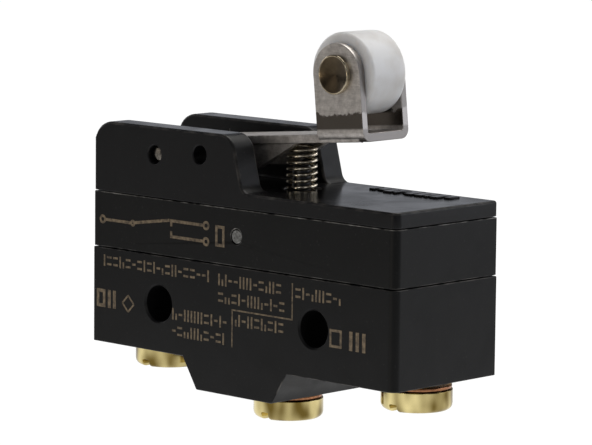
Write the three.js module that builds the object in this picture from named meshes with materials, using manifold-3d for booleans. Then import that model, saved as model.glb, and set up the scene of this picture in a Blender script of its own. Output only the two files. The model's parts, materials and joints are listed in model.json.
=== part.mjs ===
// Snap-action limit switch with a short hinge roller lever, in millimetres, +Z up.
// Origin: midway between the two mounting holes, on the back mounting face.
// +X runs along the body from the lever hinge to the free end, +Y points out of the back face.
import * as THREE from "three";
import { mergeVertices } from "three/addons/utils/BufferGeometryUtils.js";
import Module from "manifold-3d";

const wasm = await Module();
wasm.setup();

// ---------- Driving dimensions ----------

// Housing
const bodyLength = 49.2;
const bodyThickness = 17.45;
const bodyCornerRadius = 0.15; // upright corners of the case and the cover
const bracketCornerRadius = 0.5;
const freeCornerRadius = 1.0; // the front corner at the free end, on all three mouldings
const holePitch = 25.4;
const holeDiameter = 4.36;
const holeChamfer = 0.22;
const hingeEndMargin = 11.3; // mounting hole to the end of the body below the lever hinge
const caseHeight = 11.56; // shoulder to first seam, with the mounting holes halfway up
const coverHeight = 6.81; // first seam to second seam
const coverInset = 0.06; // the cover stands back from the case and the bracket
const bracketPlate = 1.93; // second seam to the top face
const seamGap = 0.12;
const skirtTopWidth = 17.1;
const skirtBottomWidth = 12.4;
const skirtDepth = 3.74;
const skirtOffset = -0.6; // the skirt stands a little nearer the hinge end than the middle
const skirtEdgeRadius = 0.3;
const floorThickness = 3.8;
const sideWall = 3.1;
const endWall = 2.0;
const bossWall = 1.5;
const lipThickness = 1.0;
const lipDepth = 1.4;

// Ears of the bracket and the pins that lock the bracket in the cover
const earHeight = 6.62;
const earThickness = 3.4;
const earTopLength = 23.4;
const earSlant = 1.76; // how far the free edge leans out between the ear's top and its foot
const earRearRadius = 3.0;
const earFrontRadius = 2.4;
const earFootRadius = 1.3;
const tongueInset = 1.5; // from the body's face to the outer side of a tongue
const tongueWidth = 4.0;
const tongueThickness = 1.2;
const tongueLength = 4.6;
const coverPinX = 0.25; // from midway between the mounting holes
const coverPinDiameter = 1.65;
const coverPinDrop = 3.24; // below the cover's top
const coverPinLength = 2.5;
const coverPinRecess = 0.05;

// Lever, measured along its plate (u) and square to it (v) from the hinge pin
const hingePinX = 10.5; // from the hinge end of the body
const hingePinHeight = 3.3; // above the top face
const hingePinDiameter = 2.0;
const hingePinRecess = 0.45;
const hingePinChamfer = 0.4;
const spareHoleX = 18.1; // from the hinge end of the body
const spareHoleHeight = 3.9;
const earHoleChamfer = 0.12;
const leverAngle = 5.25; // free position, degrees above level
const sheetThickness = 1.0;
const flangeThickness = 0.9;
const forkWidth = 7.8;
const plateWidth = 7.1;
const channelWidth = 6.6;
const plateTop = 1.78;
const plateStart = 1.8;
const flangeDepth = 2.1; // below the pin's centre
const flangeStraight = 11.8;
const flangeEnd = 18.2;
const forkStart = 22.2;
const forkEnd = 29.4;
const forkBend = 1.2;
const rollerReach = 25.7;
const rollerHeight = 8.6;
const tineRadius = 3.6;
const tineThickness = 0.95;
const rollerDiameter = 9.7;
const rollerEdge = 0.4;
const rollerSideGap = 0.12;
const rollerPinDiameter = 2.4;
const rivetHeadDiameter = 4.6;
const rivetHeadHeight = 0.5;
const rivetDish = 0.35;

// Plunger and return spring
const plungerReach = 15.9; // from the hinge pin, along the body
const plungerTravel = 0.6;
const plungerDiameter = 2.2;
const plungerHeadThickness = 0.8;
const plungerTip = 5.5; // height of the guide post above the plunger's head
const plungerGuideWall = 1.2;
const plungerGuideDepth = 0.9;
const wellDepth = 4.1; // below the top face
const springDiameter = 3.75;
const wellClearance = 0.325; // between the spring and the wall of its well
const springWire = 0.4;
const springPitch = 0.74;
const springRoom = 0.25; // so that the tilted lever clears the top turn

// Terminals, contacts and the snap blade
const terminalMargin = 4.3; // outer screws to the ends of the body
const terminalWidth = 6.4;
const terminalDepth = 8.0;
const terminalPlate = 1.2;
const riserInset = 1.1; // the riser is this much narrower than its plate on each side
const armThickness = 0.8;
const armHalfWidth = 2.6;
const riserSetback = 3.1; // middle of the body to the riser's inner face
const wireGap = 0.35; // between a terminal and its clamp washer
const washerDiameter = 8.1;
const washerThickness = 0.45;
const headDiameter = 8.3;
const headHeight = 2.4;
const headEdge = 0.75;
const screwDiameter = 3.4;
const screwEndBeyondPlate = 1.4;
const screwEndRoom = 0.5;
const washerPlay = 0.3; // radial, on the screw
const contactEndMargin = 6.3;
const contactDiameter = 3.2;
const contactHead = 0.55;
const contactShank = 1.5;
const bladeThickness = 0.3;
const bladeWidth = 4.8;
const bladeWindowWidth = 3.2;
const bladeRivetOffset = 1.1; // from the common screw towards the middle
const bladeRivetDiameter = 1.6;
const tongueArch = 1.0;

// Clearances
const runningGap = 0.1; // radial, pins and shafts in their holes
const seatGap = 0.1; // between pieces that rest on each other
const armClearance = 0.42; // normally-open arm over the boss of a mounting hole
const pocketGap = 0.12; // terminals in the slots of the case
const roofClearance = 0.2;

const roundSides = 32;
const smallSides = 24;

// ---------- Places worked out from the dimensions ----------

const xHingeEnd = -holePitch / 2 - hingeEndMargin;
const xFreeEnd = xHingeEnd + bodyLength;
const yFront = -bodyThickness;
const yMiddle = yFront / 2;
const zShoulder = -caseHeight / 2;
const zCaseTop = caseHeight / 2;
const zCoverTop = zCaseTop + coverHeight;
const zTop = zCoverTop + bracketPlate;
const zEarTop = zTop + earHeight;
const zSkirt = zShoulder - skirtDepth;
const zFloor = zShoulder + floorThickness;
const xSkirt = (xHingeEnd + xFreeEnd) / 2 + skirtOffset;

const cavity = {
  x0: xHingeEnd + endWall,
  x1: xFreeEnd - endWall,
  half: bodyThickness / 2 - sideWall,
};
const holeCentres = [-holePitch / 2, holePitch / 2];

const xPin = xHingeEnd + hingePinX;
const zPin = zTop + hingePinHeight;
const xPlunger = xPin + plungerReach;

const xCommon = xHingeEnd + terminalMargin;
const xNormallyClosed = xFreeEnd - terminalMargin;
const xNormallyOpen = (xCommon + xNormallyClosed) / 2;
const xBladeRivet = xCommon + bladeRivetOffset;
const xContact = xFreeEnd - contactEndMargin;

// The contact stack is built upwards from the boss of the mounting hole.
const contactTravel = (plungerTravel * (xContact - xBladeRivet)) / (xPlunger - xBladeRivet);
const zOpenArm = holeDiameter / 2 + bossWall + armClearance;
const zOpenContact = zOpenArm + armThickness + seatGap;
const zMovingContact = zOpenContact + contactHead + contactTravel + seatGap;
const zBlade = zMovingContact + contactHead + seatGap;
const zClosedContact = zBlade + bladeThickness + seatGap + contactHead + seatGap;
const zClosedArm = zClosedContact + contactHead + seatGap;
const zRoof = zClosedArm + armThickness + roofClearance;

const wellDiameter = springDiameter + 2 * wellClearance;
const zWell = zTop - wellDepth;
const zPlungerHead = zWell + plungerTravel + seatGap;
const zSpringFoot = zPlungerHead + plungerHeadThickness + seatGap;
const tilt = THREE.MathUtils.degToRad(leverAngle);
const zLeverUnderside =
  zPin + plungerReach * Math.tan(tilt) + (plateTop - sheetThickness) / Math.cos(tilt);

// ---------- Solids ----------

// A closed three.js geometry as a manifold-3d solid, without its normals, uvs and empty faces.
function solid(geometry) {
  const bare = geometry.clone();
  bare.deleteAttribute("normal");
  bare.deleteAttribute("uv");
  const merged = mergeVertices(bare, 1e-4);
  const corners = merged.index.array;
  const kept = [];
  for (let i = 0; i < corners.length; i += 3) {
    const [a, b, c] = corners.slice(i, i + 3);
    if (a !== b && b !== c && c !== a) kept.push(a, b, c);
  }
  return new wasm.Manifold(
    new wasm.Mesh({
      numProp: 3,
      vertProperties: merged.attributes.position.array,
      triVerts: new Uint32Array(kept),
    }),
  );
}

function join(...solids) {
  return solids.reduce((sum, next) => sum.add(next));
}

function cut(body, ...tools) {
  return tools.reduce((rest, tool) => rest.subtract(tool), body);
}

function box(x0, x1, y0, y1, z0, z1) {
  const geometry = new THREE.BoxGeometry(x1 - x0, y1 - y0, z1 - z0);
  return solid(geometry.translate((x0 + x1) / 2, (y0 + y1) / 2, (z0 + z1) / 2));
}

// An outline through corners [x, y, radius], each rounded by an arc of its radius.
function outline(corners) {
  const shape = new THREE.Shape();
  corners.forEach(([x, y, radius = 0], i) => {
    const corner = new THREE.Vector2(x, y);
    const [px, py] = corners[(i + corners.length - 1) % corners.length];
    const [nx, ny] = corners[(i + 1) % corners.length];
    const back = new THREE.Vector2(px - x, py - y).normalize();
    const on = new THREE.Vector2(nx - x, ny - y).normalize();
    const half = Math.acos(THREE.MathUtils.clamp(back.dot(on), -1, 1)) / 2;
    const start = corner.clone().addScaledVector(back, radius / Math.tan(half));
    if (i === 0) shape.moveTo(start.x, start.y);
    else shape.lineTo(start.x, start.y);
    if (radius === 0) return;
    const end = corner.clone().addScaledVector(on, radius / Math.tan(half));
    const inward = back.clone().add(on).normalize();
    const centre = corner.clone().addScaledVector(inward, radius / Math.sin(half));
    const from = start.sub(centre).angle();
    const to = end.sub(centre).angle();
    const clockwise = back.cross(on) > 0;
    shape.absarc(centre.x, centre.y, radius, from, to, clockwise);
  });
  shape.closePath();
  return shape;
}

function extruded(shape, depth, curveSegments = 5) {
  return new THREE.ExtrudeGeometry(shape, { depth, bevelEnabled: false, curveSegments });
}

// Prisms along each axis: an outline in XY, in XZ or in YZ.
function prismZ(shape, z0, z1) {
  return solid(extruded(shape, z1 - z0).translate(0, 0, z0));
}

function prismY(shape, y0, y1) {
  return solid(extruded(shape, y1 - y0).rotateX(Math.PI / 2).translate(0, y1, 0));
}

function prismX(shape, x0, x1) {
  const toX = new THREE.Matrix4().makeBasis(
    new THREE.Vector3(0, 1, 0),
    new THREE.Vector3(0, 0, 1),
    new THREE.Vector3(1, 0, 0),
  );
  return solid(extruded(shape, x1 - x0).applyMatrix4(toX).translate(x0, 0, 0));
}

// Round bars, or cones where the end radius differs, along Y and along Z.
function barY(x, z, radius, y0, y1, endRadius = radius, sides = roundSides) {
  const geometry = new THREE.CylinderGeometry(endRadius, radius, y1 - y0, sides);
  return solid(geometry.translate(x, (y0 + y1) / 2, z));
}

function barZ(x, y, radius, z0, z1, endRadius = radius, sides = roundSides) {
  const geometry = new THREE.CylinderGeometry(endRadius, radius, z1 - z0, sides);
  return solid(geometry.rotateX(Math.PI / 2).translate(x, y, (z0 + z1) / 2));
}

// A turned piece from its profile of [radius, height] points, about Z or about Y.
function turned(profile, sides) {
  const points = profile.map(([radius, height]) => new THREE.Vector2(radius, height));
  return new THREE.LatheGeometry(points, sides);
}

function turnedZ(profile, x, y, z, sides = roundSides) {
  return solid(turned(profile, sides).rotateX(Math.PI / 2).translate(x, y, z));
}

function turnedY(profile, x, y, z, sides = roundSides) {
  return solid(turned(profile, sides).translate(x, y, z));
}

// Points of a quarter round, as [radius, height] pairs, from one angle to another.
function quarter(centreRadius, centreHeight, radius, fromDegrees, toDegrees, steps = 4) {
  return Array.from({ length: steps + 1 }, (_, i) => {
    const degrees = fromDegrees + ((toDegrees - fromDegrees) * i) / steps;
    const angle = THREE.MathUtils.degToRad(degrees);
    return [centreRadius + radius * Math.cos(angle), centreHeight + radius * Math.sin(angle)];
  });
}

const limitSwitch = new THREE.Group();

function addNode(name, shape, look, parent = limitSwitch) {
  const { vertProperties, triVerts } = shape.getMesh();
  const geometry = new THREE.BufferGeometry();
  geometry.setAttribute("position", new THREE.BufferAttribute(vertProperties, 3));
  geometry.setIndex(new THREE.BufferAttribute(triVerts, 1));
  geometry.computeVertexNormals();
  const mesh = new THREE.Mesh(geometry, new THREE.MeshStandardMaterial(look));
  mesh.name = name;
  parent.add(mesh);
}

const phenolic = { color: 0x1c1c1d, roughness: 0.45, metalness: 0 };
const stainless = { color: 0x9a9692, roughness: 0.35, metalness: 1 };
const springSteel = { color: 0x8f877a, roughness: 0.3, metalness: 1 };
const brass = { color: 0xb5a45c, roughness: 0.3, metalness: 1 };
const copper = { color: 0xc8966e, roughness: 0.35, metalness: 1 };
const silver = { color: 0xd8d8d6, roughness: 0.3, metalness: 1 };
const acetal = { color: 0xdcdcdc, roughness: 0.4, metalness: 0 };
const darkPlastic = { color: 0x141414, roughness: 0.5, metalness: 0 };

// ---------- Lower case ----------

// A moulding seen from above, with its walls set back from the body's own by an inset.
function footprint(cornerRadius, inset = 0) {
  return outline([
    [xHingeEnd + inset, yFront + inset, cornerRadius],
    [xFreeEnd - inset, yFront + inset, freeCornerRadius],
    [xFreeEnd - inset, -inset, cornerRadius],
    [xHingeEnd + inset, -inset, cornerRadius],
  ]);
}

const terminals = [
  { name: "common", x: xCommon, z: zShoulder, side: 1 },
  { name: "normally_open", x: xNormallyOpen, z: zSkirt, side: 1 },
  { name: "normally_closed", x: xNormallyClosed, z: zShoulder, side: -1 },
];

// The span in Y of a terminal's riser, which stands behind or in front of its screw.
function riserSpan(side, gap = 0) {
  const inner = yMiddle + side * (riserSetback - gap);
  const outer = yMiddle + side * (riserSetback + armThickness + gap);
  return [Math.min(inner, outer), Math.max(inner, outer)];
}

const riserHalfWidth = terminalWidth / 2 - riserInset;

function terminalPocket({ x, z, side }) {
  const halfWidth = terminalWidth / 2 + pocketGap;
  const halfDepth = terminalDepth / 2 + pocketGap;
  const plateTopZ = z + terminalPlate + pocketGap;
  const riserHalf = riserHalfWidth + pocketGap;
  const [riserY0, riserY1] = riserSpan(side, pocketGap);
  return join(
    box(x - halfWidth, x + halfWidth, yMiddle - halfDepth, yMiddle + halfDepth, z - 1, plateTopZ),
    box(x - riserHalf, x + riserHalf, riserY0, riserY1, z, zFloor + 1),
    barZ(x, yMiddle, screwDiameter / 2 + screwEndRoom, z,
      plateTopZ + screwEndBeyondPlate + screwEndRoom),
  );
}

function mountingHole(x) {
  const radius = holeDiameter / 2;
  const reach = 2 * holeChamfer;
  return join(
    barY(x, 0, radius, yFront - 1, 1),
    barY(x, 0, radius + reach, yFront - holeChamfer, yFront + holeChamfer, radius),
    barY(x, 0, radius, -holeChamfer, holeChamfer, radius + reach),
  );
}

function makeLowerCase() {
  const silhouette = outline([
    [xHingeEnd - 1, zShoulder],
    [xSkirt - skirtTopWidth / 2, zShoulder],
    [xSkirt - skirtBottomWidth / 2, zSkirt, skirtEdgeRadius],
    [xSkirt + skirtBottomWidth / 2, zSkirt, skirtEdgeRadius],
    [xSkirt + skirtTopWidth / 2, zShoulder],
    [xFreeEnd + 1, zShoulder],
    [xFreeEnd + 1, zCaseTop],
    [xHingeEnd - 1, zCaseTop],
  ]);
  const block = prismZ(footprint(bodyCornerRadius), zSkirt - 1, zCaseTop + 1);
  const outer = block.intersect(prismY(silhouette, yFront - 1, 1));
  const { x0, x1, half } = cavity;
  const rabbet = lipThickness + seatGap;
  const chamber = box(x0, x1, yMiddle - half, yMiddle + half, zFloor, zCaseTop + 1);
  const bosses = holeCentres.map((x) => barY(x, 0, holeDiameter / 2 + bossWall, yFront, 0));
  const ledge = box(
    x0 - rabbet,
    x1 + rabbet,
    yMiddle - half - rabbet,
    yMiddle + half + rabbet,
    zCaseTop - lipDepth - seatGap,
    zCaseTop + 1,
  );
  return cut(
    outer,
    cut(chamber, ...bosses),
    ledge,
    ...holeCentres.map(mountingHole),
    ...terminals.map(terminalPocket),
  );
}

addNode("lower_case", makeLowerCase(), phenolic);

// ---------- Upper cover, with the plunger's guide and the well for the spring ----------

const walls = [
  { name: "front", y: yFront, inward: 1 },
  { name: "back", y: 0, inward: -1 },
];
const zCoverPin = zCoverTop - coverPinDrop;

// A box at a wall, given by its span in X and Z and its two depths from that face.
function atWall({ y, inward }, x0, x1, depth0, depth1, z0, z1) {
  const ends = [y + inward * depth0, y + inward * depth1].sort((a, b) => a - b);
  return box(x0, x1, ...ends, z0, z1);
}

function pinBore({ y, inward }, radius, depth) {
  const ends = [y - inward, y + inward * depth].sort((a, b) => a - b);
  return barY(coverPinX, zCoverPin, radius, ...ends, radius, smallSides);
}

function makeUpperCover() {
  const { x0, x1, half } = cavity;
  const z0 = zCaseTop + seamGap;
  const band = prismZ(footprint(bodyCornerRadius, coverInset), z0, zCoverTop);
  const lip = box(
    x0 - lipThickness,
    x1 + lipThickness,
    yMiddle - half - lipThickness,
    yMiddle + half + lipThickness,
    zCaseTop - lipDepth,
    z0 + seatGap,
  );
  const chamber = box(x0, x1, yMiddle - half, yMiddle + half, zCaseTop - lipDepth - 1, zRoof);
  const guideRadius = plungerDiameter / 2 + plungerGuideWall;
  const guide = barZ(xPlunger, yMiddle, guideRadius, zRoof - plungerGuideDepth,
    zRoof + seatGap);
  const slots = walls.map((wall) =>
    atWall(
      wall,
      coverPinX - tongueWidth / 2 - seatGap,
      coverPinX + tongueWidth / 2 + seatGap,
      tongueInset - seatGap,
      tongueInset + tongueThickness + seatGap,
      zCoverTop - tongueLength - seatGap,
      zCoverTop + 1,
    ),
  );
  const bores = walls.map((wall) =>
    pinBore(wall, coverPinDiameter / 2 + runningGap, tongueInset),
  );
  return cut(
    join(cut(join(band, lip), chamber), guide),
    barZ(xPlunger, yMiddle, wellDiameter / 2, zWell, zCoverTop + 1),
    barZ(xPlunger, yMiddle, plungerDiameter / 2 + runningGap, zRoof - 2, zWell + 1),
    ...slots,
    ...bores,
  );
}

addNode("upper_cover", makeUpperCover(), phenolic);

// ---------- Ear bracket ----------

function earOutline() {
  const x0 = xHingeEnd;
  return outline([
    [x0, zTop - 1],
    [x0, zEarTop, earRearRadius],
    [x0 + earTopLength, zEarTop, earFrontRadius],
    [x0 + earTopLength + earSlant, zTop, earFootRadius],
    [x0 + earTopLength + earSlant + 2 * earFootRadius, zTop, 0],
    [x0 + earTopLength + earSlant + 2 * earFootRadius, zTop - 1],
  ].reverse());
}

function earHole(x, z) {
  const radius = hingePinDiameter / 2 + runningGap;
  const rim = radius + 2 * earHoleChamfer;
  const c = earHoleChamfer;
  return join(
    barY(x, z, radius, yFront - 1, 1, radius, smallSides),
    barY(x, z, rim, yFront - c, yFront + c, radius, smallSides),
    barY(x, z, radius, -c, c, rim, smallSides),
  );
}

function makeEarBracket() {
  const plan = footprint(bracketCornerRadius);
  const plate = prismZ(plan, zCoverTop + seamGap, zTop);
  const ears = walls.map(({ y, inward }) => {
    const ends = [y, y + inward * earThickness].sort((a, b) => a - b);
    return prismY(earOutline(), ...ends);
  });
  const tongues = walls.map((wall) =>
    atWall(
      wall,
      coverPinX - tongueWidth / 2,
      coverPinX + tongueWidth / 2,
      tongueInset,
      tongueInset + tongueThickness,
      zCoverTop - tongueLength,
      zTop - 1,
    ),
  );
  const envelope = prismZ(plan, zCoverTop - tongueLength - 1, zEarTop + 1);
  const bores = walls.map((wall) =>
    pinBore(wall, coverPinDiameter / 2 + runningGap, tongueInset + tongueThickness + 1),
  );
  return cut(
    join(plate, ...ears, ...tongues).intersect(envelope),
    barZ(xPlunger, yMiddle, wellDiameter / 2, zCoverTop - 1, zTop + 1),
    earHole(xPin, zPin),
    earHole(xHingeEnd + spareHoleX, zTop + spareHoleHeight),
    ...bores,
  );
}

addNode("ear_bracket", makeEarBracket(), phenolic);

// A short pin in each side wall passes through the cover into a tongue of the bracket.
for (const { name, y, inward } of walls) {
  const outer = y + inward * (coverInset + coverPinRecess);
  const ends = [outer, outer + inward * coverPinLength].sort((a, b) => a - b);
  const radius = coverPinDiameter / 2;
  const pin = barY(coverPinX, zCoverPin, radius, ...ends, radius, smallSides);
  addNode("cover_pin_" + name, pin, silver);
}

// ---------- Hinge pin ----------

const pinRadius = hingePinDiameter / 2;

addNode(
  "lever_pin",
  turnedY(
    [
      [0, yFront + hingePinRecess],
      [pinRadius - hingePinChamfer, yFront + hingePinRecess],
      [pinRadius, yFront + hingePinRecess + hingePinChamfer],
      [pinRadius, -hingePinRecess - hingePinChamfer],
      [pinRadius - hingePinChamfer, -hingePinRecess],
      [0, -hingePinRecess],
    ],
    xPin,
    0,
    zPin,
    smallSides,
  ),
  stainless,
);

// ---------- Lever: one bent sheet with a downward channel at the hinge and an upright fork ----------

const leverFrame = new THREE.Group();
leverFrame.position.set(xPin, yMiddle, zPin);
leverFrame.rotation.y = -tilt;
limitSwitch.add(leverFrame);

const plateBottom = plateTop - sheetThickness;

function makeLever() {
  const half = forkWidth / 2;
  const plateHalf = plateWidth / 2;
  const channelHalf = channelWidth / 2;
  const plate = box(plateStart, forkEnd - 1, -plateHalf, plateHalf, plateBottom, plateTop);
  const bend = flangeThickness + 0.2;
  const channel = outline([
    [-channelHalf, -flangeDepth - 1],
    [-channelHalf + flangeThickness, -flangeDepth - 1],
    [-channelHalf + flangeThickness, plateBottom, 0.2],
    [channelHalf - flangeThickness, plateBottom, 0.2],
    [channelHalf - flangeThickness, -flangeDepth - 1],
    [channelHalf, -flangeDepth - 1],
    [channelHalf, plateTop, bend],
    [-channelHalf, plateTop, bend],
  ]);
  const endRadius = (plateTop + flangeDepth) / 2;
  const flange = outline([
    [-endRadius, -flangeDepth, endRadius - 0.01],
    [flangeStraight, -flangeDepth, 1],
    [flangeEnd, plateBottom],
    [flangeEnd, plateTop],
    [-endRadius, plateTop, endRadius - 0.01],
  ]);
  const hinge = prismX(channel, -endRadius - 1, flangeEnd).intersect(prismY(flange, -half, half));
  const overPin = box(-endRadius - 1, plateStart, -channelHalf + flangeThickness,
    channelHalf - flangeThickness, -flangeDepth, plateTop + 1);
  const forkTop = rollerHeight + tineRadius + 1;
  const fork = outline([
    [-half, plateBottom, forkBend],
    [half, plateBottom, forkBend],
    [half, forkTop],
    [half - tineThickness, forkTop],
    [half - tineThickness, plateTop, 0.2],
    [-half + tineThickness, plateTop, 0.2],
    [-half + tineThickness, forkTop],
    [-half, forkTop],
  ]);
  const tine = new THREE.Shape();
  tine.moveTo(forkStart, plateBottom - 0.1);
  tine.lineTo(forkEnd, plateBottom - 0.1);
  tine.lineTo(rollerReach + tineRadius, rollerHeight);
  tine.absarc(rollerReach, rollerHeight, tineRadius, 0, Math.PI, false);
  tine.closePath();
  const tines = solid(
    extruded(tine, forkWidth + 2, 12).rotateX(Math.PI / 2).translate(0, half + 1, 0),
  );
  const roundFork = prismX(fork, forkStart - 1, forkEnd + 1).intersect(tines);
  const pinHole = barY(0, 0, pinRadius + runningGap, -half, half, undefined, smallSides);
  const rollerHole = rollerPinDiameter / 2 + runningGap;
  return cut(
    join(cut(hinge, overPin), plate, roundFork),
    pinHole,
    barY(rollerReach, rollerHeight, rollerHole, -half - 1, half + 1, rollerHole, smallSides),
  );
}

addNode("lever", makeLever(), stainless, leverFrame);

// ---------- Roller and its rivet pin ----------

const rollerHalf = forkWidth / 2 - tineThickness - rollerSideGap;
const rollerRadius = rollerDiameter / 2;
const rollerBore = rollerPinDiameter / 2 + runningGap;

addNode(
  "roller",
  turnedY(
    [
      [rollerBore, -rollerHalf],
      ...quarter(rollerRadius - rollerEdge, -rollerHalf + rollerEdge, rollerEdge, -90, 0),
      ...quarter(rollerRadius - rollerEdge, rollerHalf - rollerEdge, rollerEdge, 0, 90),
      [rollerBore, rollerHalf],
      [rollerBore, -rollerHalf],
    ],
    rollerReach,
    0,
    rollerHeight,
  ),
  acetal,
  leverFrame,
);

const tineFace = forkWidth / 2 + seatGap / 2;
const shankRadius = rollerPinDiameter / 2;
const rivetRadius = rivetHeadDiameter / 2;

addNode(
  "roller_pin",
  turnedY(
    [
      [0, -tineFace - rivetHeadHeight + rivetDish],
      [rivetRadius - 0.6, -tineFace - rivetHeadHeight],
      [rivetRadius - 0.15, -tineFace - rivetHeadHeight],
      [rivetRadius, -tineFace - rivetHeadHeight + 0.2],
      [rivetRadius, -tineFace],
      [shankRadius, -tineFace],
      [shankRadius, tineFace],
      [rivetRadius, tineFace],
      [rivetRadius - 0.2, tineFace + rivetHeadHeight * 0.6],
      [rivetRadius - 0.9, tineFace + rivetHeadHeight],
      [0, tineFace + rivetHeadHeight],
    ],
    rollerReach,
    0,
    rollerHeight,
    smallSides,
  ),
  stainless,
  leverFrame,
);

// ---------- Plunger and return spring ----------

const plungerRadius = plungerDiameter / 2;
const plungerHeadRadius = wellDiameter / 2 - 2 * runningGap;
const zPlungerFoot = zBlade + bladeThickness + seatGap;

addNode(
  "plunger",
  turnedZ(
    [
      [0, zPlungerFoot],
      [plungerRadius - 0.5, zPlungerFoot],
      [plungerRadius, zPlungerFoot + 0.4],
      [plungerRadius, zPlungerHead],
      [plungerHeadRadius, zPlungerHead],
      [plungerHeadRadius, zPlungerHead + plungerHeadThickness],
      [plungerRadius, zPlungerHead + plungerHeadThickness],
      ...quarter(plungerRadius - 0.5, zPlungerHead + plungerHeadThickness + plungerTip - 0.5,
        0.5, 0, 90, 3),
      [0, zPlungerHead + plungerHeadThickness + plungerTip],
    ],
    xPlunger,
    yMiddle,
    0,
    smallSides,
  ),
  darkPlastic,
);

// A compression spring with one closed turn at each end.
class SpringCurve extends THREE.Curve {
  constructor(length) {
    super();
    this.closedRise = springWire * 1.05;
    this.openRise = length - springWire - 2 * this.closedRise;
    this.turns = 2 + this.openRise / springPitch;
  }

  getPoint(t) {
    const turn = t * this.turns;
    const openTurn = THREE.MathUtils.clamp(turn - 1, 0, this.turns - 2);
    const closedTurn = turn - openTurn;
    const angle = turn * 2 * Math.PI;
    const radius = (springDiameter - springWire) / 2;
    return new THREE.Vector3(
      radius * Math.cos(angle),
      radius * Math.sin(angle),
      springWire / 2 + openTurn * springPitch + closedTurn * this.closedRise,
    );
  }
}

const springCurve = new SpringCurve(zLeverUnderside - seatGap - springRoom - zSpringFoot);
const wireSection = new THREE.Shape().absarc(0, 0, springWire / 2, 0, 2 * Math.PI);

addNode(
  "return_spring",
  solid(
    new THREE.ExtrudeGeometry(wireSection, {
      steps: Math.round(springCurve.turns * 12),
      curveSegments: 3,
      extrudePath: springCurve,
    }).translate(xPlunger, yMiddle, zSpringFoot),
  ),
  springSteel,
);

// ---------- Terminals ----------

function terminalBase({ x, z, side }, zArmTop) {
  const halfWidth = terminalWidth / 2;
  const halfDepth = terminalDepth / 2;
  const y0 = yMiddle - halfDepth;
  const plate = box(x - halfWidth, x + halfWidth, y0, yMiddle + halfDepth, z, z + terminalPlate);
  const riser = box(x - riserHalfWidth, x + riserHalfWidth, ...riserSpan(side), z, zArmTop);
  const bore = barZ(x, yMiddle, screwDiameter / 2 + runningGap, z - 1, z + terminalPlate + 1);
  return cut(join(plate, riser), bore);
}

function arm(side, x0, x1, z) {
  const edge = yMiddle - side * armHalfWidth;
  const riserEdge = yMiddle + side * (riserSetback + armThickness);
  return box(x0, x1, Math.min(edge, riserEdge), Math.max(edge, riserEdge), z, z + armThickness);
}

const zCommonArm = zBlade - seatGap - armThickness;
const [common, normallyOpen, normallyClosed] = terminals;
const armOverhang = contactDiameter / 2 + 0.3;
const bladeRivetBore = bladeRivetDiameter / 2 + runningGap;
const contactBore = contactShank / 2 + runningGap;

addNode(
  "terminal_common",
  cut(
    join(
      terminalBase(common, zCommonArm + armThickness),
      arm(common.side, xCommon - riserHalfWidth, xCommon + riserHalfWidth, zCommonArm),
    ),
    barZ(xBladeRivet, yMiddle, bladeRivetBore, zCommonArm - 1, zBlade, undefined, smallSides),
  ),
  brass,
);

addNode(
  "terminal_normally_open",
  cut(
    join(
      terminalBase(normallyOpen, zOpenArm + armThickness),
      arm(normallyOpen.side, xNormallyOpen - riserHalfWidth, xContact + armOverhang, zOpenArm),
    ),
    barZ(xContact, yMiddle, contactBore, zOpenArm - 1, zOpenArm + 1, undefined, smallSides),
  ),
  brass,
);

addNode(
  "terminal_normally_closed",
  cut(
    join(
      terminalBase(normallyClosed, zClosedArm + armThickness),
      arm(
        normallyClosed.side,
        xContact - armOverhang,
        xNormallyClosed + riserHalfWidth,
        zClosedArm,
      ),
    ),
    barZ(xContact, yMiddle, contactBore, zClosedArm - 1, zClosedArm + 1, undefined, smallSides),
  ),
  brass,
);

// ---------- Terminal screws and clamp washers ----------

const slotWidth = 1.1;
const slotDepth = 0.9;
const crossLength = 4.4;
const crossDepth = 1.3;

function makeScrew(x, zSeat) {
  const zHead = zSeat - wireGap - washerThickness - seatGap;
  const zFace = zHead - headHeight;
  const radius = screwDiameter / 2;
  const zEnd = zSeat + terminalPlate + screwEndBeyondPlate;
  const blank = turnedZ(
    [
      [0, zFace],
      ...quarter(headDiameter / 2 - headEdge, zFace + headEdge, headEdge, -90, 0),
      [headDiameter / 2, zHead],
      [radius, zHead],
      [radius, zEnd - 0.4],
      [radius - 0.4, zEnd],
      [0, zEnd],
    ],
    x,
    yMiddle,
    0,
  );
  const reach = headDiameter;
  const half = slotWidth / 2;
  return cut(
    blank,
    box(x - half, x + half, yMiddle - reach, yMiddle + reach, zFace - 1, zFace + slotDepth),
    box(x - crossLength / 2, x + crossLength / 2, yMiddle - half, yMiddle + half,
      zFace - 1, zFace + crossDepth),
    box(x - half, x + half, yMiddle - crossLength / 2, yMiddle + crossLength / 2,
      zFace - 1, zFace + crossDepth),
  );
}

function makeWasher(x, zSeat) {
  const z1 = zSeat - wireGap;
  const z0 = z1 - washerThickness;
  const inner = screwDiameter / 2 + washerPlay;
  const outer = washerDiameter / 2;
  return turnedZ(
    [[inner, z0], [outer - 0.1, z0], [outer, z0 + 0.1], [outer, z1 - 0.1], [outer - 0.1, z1],
      [inner, z1], [inner, z0]],
    x,
    yMiddle,
    0,
  );
}

for (const { name, x, z } of terminals) {
  addNode("terminal_screw_" + name, makeScrew(x, z), brass);
  addNode("clamp_washer_" + name, makeWasher(x, z), copper);
}

// ---------- Fixed contacts ----------

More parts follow.
